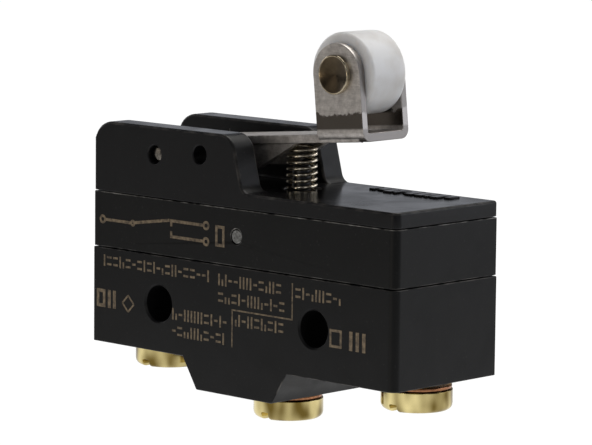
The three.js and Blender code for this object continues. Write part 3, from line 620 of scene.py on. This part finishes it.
def revolved(mesh, profile, centre, axis, steps=72):
    """Turns a closed or axis-to-axis profile of (radius, height) points round an axis through a centre."""
    along = Vector(axis).normalized()
    across = along.orthogonal().normalized()
    third = along.cross(across)
    loops = []
    for radius, height in profile:
        middle = Vector(centre) + along * height
        if radius < 1e-6:
            loops.append([mesh.verts.new(middle * MM)])
            continue
        loops.append([
            mesh.verts.new((middle + (across * cos(turn) + third * sin(turn)) * radius) * MM)
            for turn in (2 * pi * i / steps for i in range(steps))
        ])
    for a, b in zip(loops, loops[1:]):
        for i in range(steps):
            j = (i + 1) % steps
            if len(a) == 1 and len(b) == 1:
                continue
            if len(a) == 1:
                mesh.faces.new((a[0], b[i], b[j]))
            elif len(b) == 1:
                mesh.faces.new((a[i], b[0], a[j]))
            else:
                mesh.faces.new((a[i], b[i], b[j], a[j]))
    bmesh.ops.remove_doubles(mesh, verts=mesh.verts, dist=0.0005 * MM)


def arc(centre_radius, centre_height, radius, first, last, steps=8):
    """Points of a round between two angles in degrees, as (radius, height) pairs."""
    turns = [radians(first + (last - first) * i / steps) for i in range(steps + 1)]
    return [(centre_radius + radius * cos(turn), centre_height + radius * sin(turn)) for turn in turns]


# Soft white metal: its torn end is rough and glints in patches.
torn_round = 0.12
tail_round = 0.2
cut_white_metal = metal(
    "cut_white_metal", "#4c4c4a", "#a6a6a4",
    roughness=0.5, grain=0.35, spread=0.1, depth=0.05,
)
for side, end in (("front", -1), ("back", 1)):
    low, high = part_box("cover_pin_" + side)
    radius = (high.x - low.x) / 2 / MM
    centre = (low + high) / 2 / MM
    half = (high.y - low.y) / 2 / MM
    pin = bmesh.new()
    torn = [(0, half - 0.03), (radius * 0.3, half - 0.02), (radius * 0.55, half - 0.05)]
    revolved(pin, [
        *torn, *arc(radius - torn_round, half - torn_round, torn_round, 90, 0, 4),
        *arc(radius - tail_round, -half + tail_round, tail_round, 0, -90, 4), (0, -half),
    ], centre, (0, end, 0), 40)
    piece = finished(pin, "cover_pin_end_" + side, cut_white_metal, "housing")
    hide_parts("cover_pin_" + side)

# ---------- Hinge pin ----------
# A turned steel pin with domed ends is pressed through both ears and carries the lever. It sits a
# little below the faces of the ears. Fine turning rings make its ends shine softly.

dome_rise = 0.35
dome_steps = 12
turned_steel = metal(
    "turned_steel", "#4a4641", "#a19b92",
    roughness=0.2, grain=0.3, spread=0.06, depth=0.004, stretch=(1, 8, 1),
)
low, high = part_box("lever_pin")
pin_radius = (high.x - low.x) / 2 / MM
pin_half = (high.y - low.y) / 2 / MM
hinge = (low + high) / 2 / MM
hinge_pin = bmesh.new()
domed = [
    (pin_radius * sin(turn), pin_half - dome_rise * (1 - cos(turn)))
    for turn in (pi / 2 * i / dome_steps for i in range(dome_steps + 1))
]
near_end = [(radius, -height) for radius, height in domed]
revolved(hinge_pin, near_end + domed[::-1], hinge, (0, 1, 0))
piece = finished(hinge_pin, "hinge_pin", turned_steel, "housing")
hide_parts("lever_pin")

# ---------- Lever ----------
# The lever is one sheet of stainless steel, blanked and bent: a channel round the hinge pin, a flat
# plate over the spring, and a fork whose two cheeks hold the roller.

sheet_edge = 0.09
lever_tilt = radians(5.25)
bend_top = 2.3
band_top = 4.15
ragged_size = 1.5
ragged_reach = 3.0
rolling_line = 0.12
mottle_size = 0.9


def stainless_sheet():
    """Cold-rolled stainless: satin, with fine rolling lines along the sheet. The cheeks keep a
    polished band above the bend, where the bending tool pressed, with a ragged upper edge, and the
    faces that look towards the free end are painted a darker grey as painted shade."""
    material, tree = blank_material("stainless_sheet")
    place = add_node(tree, "ShaderNodeTexCoord")
    up = (-sin(lever_tilt), 0, cos(lever_tilt))
    rise = add_node(tree, "ShaderNodeVectorMath", {"operation": "DOT_PRODUCT", 1: up},
                    {0: place.outputs["Object"]})
    base = Vector(up).dot(hinge) * MM
    height = add_node(tree, "ShaderNodeMath", {"operation": "SUBTRACT", 1: base},
                      {0: rise.outputs["Value"]})
    ragged = add_node(tree, "ShaderNodeTexNoise", {
        "Scale": 1 / (ragged_size * MM), "Detail": 4.0, "Roughness": 0.6,
    }, {"Vector": place.outputs["Object"]})
    offset = add_node(tree, "ShaderNodeMath", {
        "operation": "MULTIPLY_ADD", 1: ragged_reach * MM, 2: -ragged_reach / 2 * MM,
    }, {0: ragged.outputs["Fac"]})
    edge = add_node(tree, "ShaderNodeMath", {"operation": "ADD"},
                    {0: height.outputs[0], 1: offset.outputs[0]})
    above = add_node(tree, "ShaderNodeMapRange", {
        "From Min": (bend_top - 0.12) * MM, "From Max": (bend_top + 0.12) * MM,
    }, {"Value": height.outputs[0]})
    below = add_node(tree, "ShaderNodeMapRange", {
        "From Min": (band_top - 0.15) * MM, "From Max": (band_top + 0.15) * MM,
        "To Min": 1.0, "To Max": 0.0,
    }, {"Value": edge.outputs[0]})
    band = add_node(tree, "ShaderNodeMath", {"operation": "MULTIPLY"},
                    {0: above.outputs["Result"], 1: below.outputs["Result"]})
    lines = add_node(tree, "ShaderNodeMapping", {"Rotation": (0, lever_tilt, 0), "Scale": (0.06, 1, 1)},
                     {"Vector": place.outputs["Object"]})
    rolling = add_node(tree, "ShaderNodeTexNoise", {
        "Scale": 1 / (rolling_line * MM), "Detail": 3.0, "Roughness": 0.6,
    }, {"Vector": lines.outputs[0]})
    mottle = add_node(tree, "ShaderNodeTexNoise", {
        "Scale": 1 / (mottle_size * MM), "Detail": 6.0, "Roughness": 0.7,
    }, {"Vector": place.outputs["Object"]})
    both = add_node(tree, "ShaderNodeMath", {"operation": "MULTIPLY_ADD", 1: 0.35},
                    {0: rolling.outputs["Fac"], 2: mottle.outputs["Fac"]})
    tones = add_node(tree, "ShaderNodeValToRGB", {}, {"Fac": both.outputs[0]})
    tones.color_ramp.elements[0].position = 0.48
    tones.color_ramp.elements[0].color = linear("#a29c98")
    tones.color_ramp.elements[1].position = 0.86
    tones.color_ramp.elements[1].color = linear("#d6d1cc")
    polished = add_node(tree, "ShaderNodeMix", {"data_type": "RGBA", 7: linear("#5d5751")},
                        {0: band.outputs[0], 6: tones.outputs["Color"]})
    # Painted shade: faces turned towards the free end (+X) are mixed to a darker grey.
    facing = add_node(tree, "ShaderNodeSeparateXYZ", {}, {0: place.outputs["Normal"]})
    painted_end_shade = add_node(tree, "ShaderNodeMapRange", {"From Min": 0.75, "From Max": 0.97},
                       {"Value": facing.outputs["X"]})
    end_shaded = add_node(tree, "ShaderNodeMix", {"data_type": "RGBA", 7: linear("#8a8683")},
                     {0: painted_end_shade.outputs["Result"], 6: polished.outputs[2]})
    rough = add_node(tree, "ShaderNodeMapRange", {"To Min": 0.42, "To Max": 0.2},
                     {"Value": band.outputs[0]})
    relief = add_node(tree, "ShaderNodeBump", {"Strength": 0.45, "Distance": 0.012 * MM},
                      {"Height": both.outputs[0]})
    shader = add_node(tree, "ShaderNodeBsdfPrincipled", {"Metallic": 1.0}, {
        "Base Color": end_shaded.outputs[2], "Roughness": rough.outputs["Result"],
        "Normal": relief.outputs["Normal"],
    })
    add_node(tree, "ShaderNodeOutputMaterial", {}, {"Surface": shader.outputs[0]})
    return material


eased("lever", "bent_lever", sheet_edge, stainless_sheet(), "lever_arm")

# ---------- Roller ----------
# The roller is turned from white acetal. Light goes a little way into it, so its shadows are soft,
# and its tread carries the faint lines of turning.

spin = next(joint for joint in frame["joints"] if joint["name"] == "roller_spin")
roller_centre = Vector(spin["pos_m"]) / MM
low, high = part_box("roller")
tread_radius = (high.x - low.x) / 2 / MM
roller_half = (high.y - low.y) / 2 / MM
roller_bore = 1.3
bore_chamfer = 0.15
tread_edge = 0.4
turning_line = 0.16
grime_size = 3


def acetal():
    """White acetal: waxy and slightly translucent, with fine turning lines and light handling grime."""
    material, tree = blank_material("white_acetal")
    place = add_node(tree, "ShaderNodeTexCoord")
    turning = add_node(tree, "ShaderNodeMapping", {"Scale": (0.05, 1, 0.05)},
                       {"Vector": place.outputs["Object"]})
    lines = add_node(tree, "ShaderNodeTexNoise", {"Scale": 1 / (turning_line * MM), "Detail": 2.0},
                     {"Vector": turning.outputs[0]})
    grime = add_node(tree, "ShaderNodeTexNoise", {"Scale": 1 / (grime_size * MM), "Detail": 4.0},
                     {"Vector": place.outputs["Object"]})
    tones = add_node(tree, "ShaderNodeValToRGB", {}, {"Fac": grime.outputs["Fac"]})
    tones.color_ramp.elements[0].position = 0.25
    tones.color_ramp.elements[0].color = linear("#dcd9d6")
    tones.color_ramp.elements[1].position = 0.6
    tones.color_ramp.elements[1].color = linear("#ededee")
    rough = add_node(tree, "ShaderNodeMapRange", {
        "From Min": 0.3, "From Max": 0.7, "To Min": 0.3, "To Max": 0.44,
    }, {"Value": grime.outputs["Fac"]})
    ridges = add_node(tree, "ShaderNodeBump", {"Strength": 0.3, "Distance": 0.01 * MM},
                      {"Height": lines.outputs["Fac"]})
    shader = add_node(tree, "ShaderNodeBsdfPrincipled", {
        "IOR": 1.48, "Subsurface Weight": 0.55, "Subsurface Radius": (1.0, 0.95, 0.9),
        "Subsurface Scale": 1.8 * MM,
    }, {
        "Base Color": tones.outputs["Color"], "Roughness": rough.outputs["Result"],
        "Normal": ridges.outputs["Normal"],
    })
    add_node(tree, "ShaderNodeOutputMaterial", {}, {"Surface": shader.outputs[0]})
    return material


wheel = bmesh.new()
revolved(wheel, [
    (roller_bore, -roller_half + bore_chamfer), (roller_bore + bore_chamfer, -roller_half),
    *arc(tread_radius - tread_edge, -roller_half + tread_edge, tread_edge, -90, 0, 10),
    *arc(tread_radius - tread_edge, roller_half - tread_edge, tread_edge, 0, 90, 10),
    (roller_bore + bore_chamfer, roller_half), (roller_bore, roller_half - bore_chamfer),
    (roller_bore, -roller_half + bore_chamfer),
], roller_centre, (0, 1, 0), 128)
piece = finished(wheel, "acetal_roller", acetal(), "roller_wheel", 50)
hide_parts("roller")

# ---------- Roller pin ----------
# A solid steel rivet holds the roller between the cheeks. The tool that formed its head left a
# shallow cone with a burnished rim.

low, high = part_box("roller_pin")
head_radius = (high.z - low.z) / 2 / MM
rivet_half = (high.y - low.y) / 2 / MM
head_height = 0.5
shank_radius = 1.2
dish_depth = 0.5
dish_rim = 0.24
near_round = 0.14
far_round = 0.32
# Burnished steel: the forming tool left the rim bright. Inside the cone a darker copy of the steel is a
# painted dark reflection.
burnished_steel = metal(
    "burnished_steel", "#9c8f78", "#cfc3aa",
    roughness=0.16, grain=0.5, spread=0.04, depth=0.004,
)
painted_dark_dish_steel = metal(
    "painted_dark_dish_steel", "#4b4032", "#5f5342",
    roughness=0.24, grain=0.8, spread=0.04, depth=0.003,
)
rivet = bmesh.new()
revolved(rivet, [
    (0, -rivet_half + dish_depth), (0.16, -rivet_half + dish_depth - 0.02),
    (head_radius - dish_rim, -rivet_half + 0.03),
    *arc(head_radius - near_round, -rivet_half + near_round, near_round, -115, 0, 12),
    (head_radius, -rivet_half + head_height), (shank_radius, -rivet_half + head_height),
    (shank_radius, rivet_half - head_height), (head_radius, rivet_half - head_height),
    *arc(head_radius - far_round, rivet_half - far_round - 0.02, far_round, 0, 70, 8),
    (head_radius - 0.8, rivet_half - 0.02), (0, rivet_half),
], roller_centre, (0, 1, 0), 96)
piece = finished(rivet, "roller_rivet", burnished_steel, "lever_arm", 45)
# Painted reflection: the faces inside the cone take the darker copy of the steel.
piece.data.materials.append(painted_dark_dish_steel)
for face in piece.data.polygons:
    from_axis = (face.center - roller_centre * MM).xz
    if face.normal.y < -0.9 and from_axis.length < (head_radius - 0.2) * MM:
        face.material_index = 1
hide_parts("roller_pin")

# ---------- Plunger ----------
# The plunger is moulded in black thermoset. Its flat head carries the spring, and a round post above
# it keeps the spring upright.

plunger_edge = 0.08
plunger_black = phenolic(
    "plunger_black", "#0b0b0c", "#111112",
    roughness=0.38, top_roughness=0.34, gloss=0.4,
)
eased("plunger", "plunger_moulding", plunger_edge, plunger_black, "plunger_rod")

# ---------- Return spring ----------
# A compression spring of bright music wire with closed ends stands on the plunger's head and pushes
# the lever up.

spring_low, spring_high = (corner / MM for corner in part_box("return_spring"))
wire = 0.4
wire_pitch = 0.74
coil_radius = (spring_high.x - spring_low.x) / 2 - wire / 2
spring_foot = spring_low.z + wire / 2
spring_rise = spring_high.z - spring_low.z - wire
closed_pitch = wire * 1.05
open_turns = (spring_rise - 2 * closed_pitch) / wire_pitch
all_turns = open_turns + 2
steps_per_turn = 40
wire_sides = 12
cut_size = 0.72
cut_taper = 0.1
coil_axis = (spring_low + spring_high) / 2


def coil_point(turn):
    """A point of the wire's centre line, with one close turn at each end."""
    rising = min(max(turn - 1, 0), open_turns)
    height = spring_foot + rising * wire_pitch + (turn - rising) * closed_pitch
    angle = 2 * pi * turn
    return Vector((coil_axis.x + coil_radius * cos(angle), coil_axis.y + coil_radius * sin(angle), height))


spring = bmesh.new()
loops = []
step_count = round(all_turns * steps_per_turn)
for step in range(step_count + 1):
    turn = all_turns * step / step_count
    centre = coil_point(turn)
    out = Vector((cos(2 * pi * turn), sin(2 * pi * turn), 0))
    ahead = (coil_point(turn + 0.001) - coil_point(turn - 0.001)).normalized()
    across = ahead.cross(out)
    from_end = min(turn, all_turns - turn) * 2 * pi * coil_radius
    size = wire / 2 * min(1.0, cut_size + (1 - cut_size) * from_end / cut_taper)
    loops.append([
        spring.verts.new((centre + (out * cos(around) + across * sin(around)) * size) * MM)
        for around in (2 * pi * i / wire_sides for i in range(wire_sides))
    ])
for a, b in zip(loops, loops[1:]):
    for i in range(wire_sides):
        j = (i + 1) % wire_sides
        spring.faces.new((a[i], a[j], b[j], b[i]))
spring.faces.new(list(reversed(loops[0])))
spring.faces.new(loops[-1])
bmesh.ops.recalc_face_normals(spring, faces=spring.faces)
spring_data = bpy.data.meshes.new("coil_spring")
spring.to_mesh(spring_data)
spring.free()
# Music wire: drawn bright, so each turn carries a sharp highlight.
music_wire = metal("music_wire", "#a89c88", "#efe6d2", roughness=0.2, grain=0.4, spread=0.05, depth=0.003)
spring_data.materials.append(music_wire)
coil_spring = smoothed(show(spring_data, "coil_spring"), 50)
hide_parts("return_spring")
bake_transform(coil_spring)

# ---------- Terminals, screws and clamp washers ----------
# Each terminal is a bent brass strip that leaves the case under its screw. Brass binding screws with
# rounded heads and a combined slot hold copper-plated clamp washers.

strip_edge = 0.06
screw_edge = 0.09
washer_edge = 0.05

# Rolled brass is satin along the roll, turned brass carries broad cream and dark patches of painted
# reflection in its colour, and copper plate is a thin warm coat that dulls in spots.
rolled_brass = metal(
    "rolled_brass", "#8f8145", "#c2b169",
    roughness=0.32, grain=0.3, spread=0.08, depth=0.008, stretch=(0.2, 1, 1),
)
# Painted reflection: big stretched patches of cream and dark olive in the base colour stand for the
# surroundings that the polished heads mirror.
turned_brass_painted_reflection = metal(
    "turned_brass_painted_reflection", "#6f5d2c", "#f0dfa0",
    roughness=0.13, grain=2.2, spread=0.03, depth=0.003, stretch=(1, 1, 0.5), detail=1.0,
)
copper_plate = metal(
    "copper_plate", "#7a4f36", "#b98460",
    roughness=0.3, grain=0.5, spread=0.08, depth=0.006,
)
for terminal in ("common", "normally_open", "normally_closed"):
    eased("terminal_" + terminal, "terminal_strip_" + terminal, strip_edge, rolled_brass, "housing")
    eased("terminal_screw_" + terminal, "binding_screw_" + terminal, screw_edge, turned_brass_painted_reflection, "housing")
    eased("clamp_washer_" + terminal, "clamp_ring_" + terminal, washer_edge, copper_plate, "housing")

# ---------- Contacts and snap blade ----------
# Inside, a beryllium copper blade with a bowed tongue snaps a silver contact between two fixed
# ones. The parts are stamped, riveted and closed in by the mouldings.

inner_edge = 0.04

# Contact silver is a soft, even white metal, and blade copper is rolled, red-gold and satin.
contact_silver = metal(
    "contact_silver", "#b9b9b6", "#e4e4e1",
    roughness=0.24, grain=0.4, spread=0.06, depth=0.006,
)
blade_copper = metal(
    "blade_copper", "#a2643f", "#d18f63",
    roughness=0.28, grain=0.25, spread=0.06, depth=0.006, stretch=(0.15, 1, 1),
)
for node, name, body, material, slot in (
    ("fixed_contact_normally_open", "fixed_button_normally_open", "housing",
     contact_silver, "contact_silver"),
    ("fixed_contact_normally_closed", "fixed_button_normally_closed", "housing",
     contact_silver, "contact_silver"),
    ("moving_contact", "moving_button", "contact_blade", contact_silver, "contact_silver"),
    ("snap_blade", "stamped_blade", "contact_blade", blade_copper, "blade_copper"),
    ("snap_tongue", "bowed_tongue", "contact_blade", blade_copper, "blade_copper"),
    ("tension_anchor", "anchor_strip", "housing", rolled_brass, "terminal_brass"),
    ("blade_rivet", "anchor_rivet", "housing", rolled_brass, "terminal_brass"),
):
    eased(node, name, inner_edge, material, body)
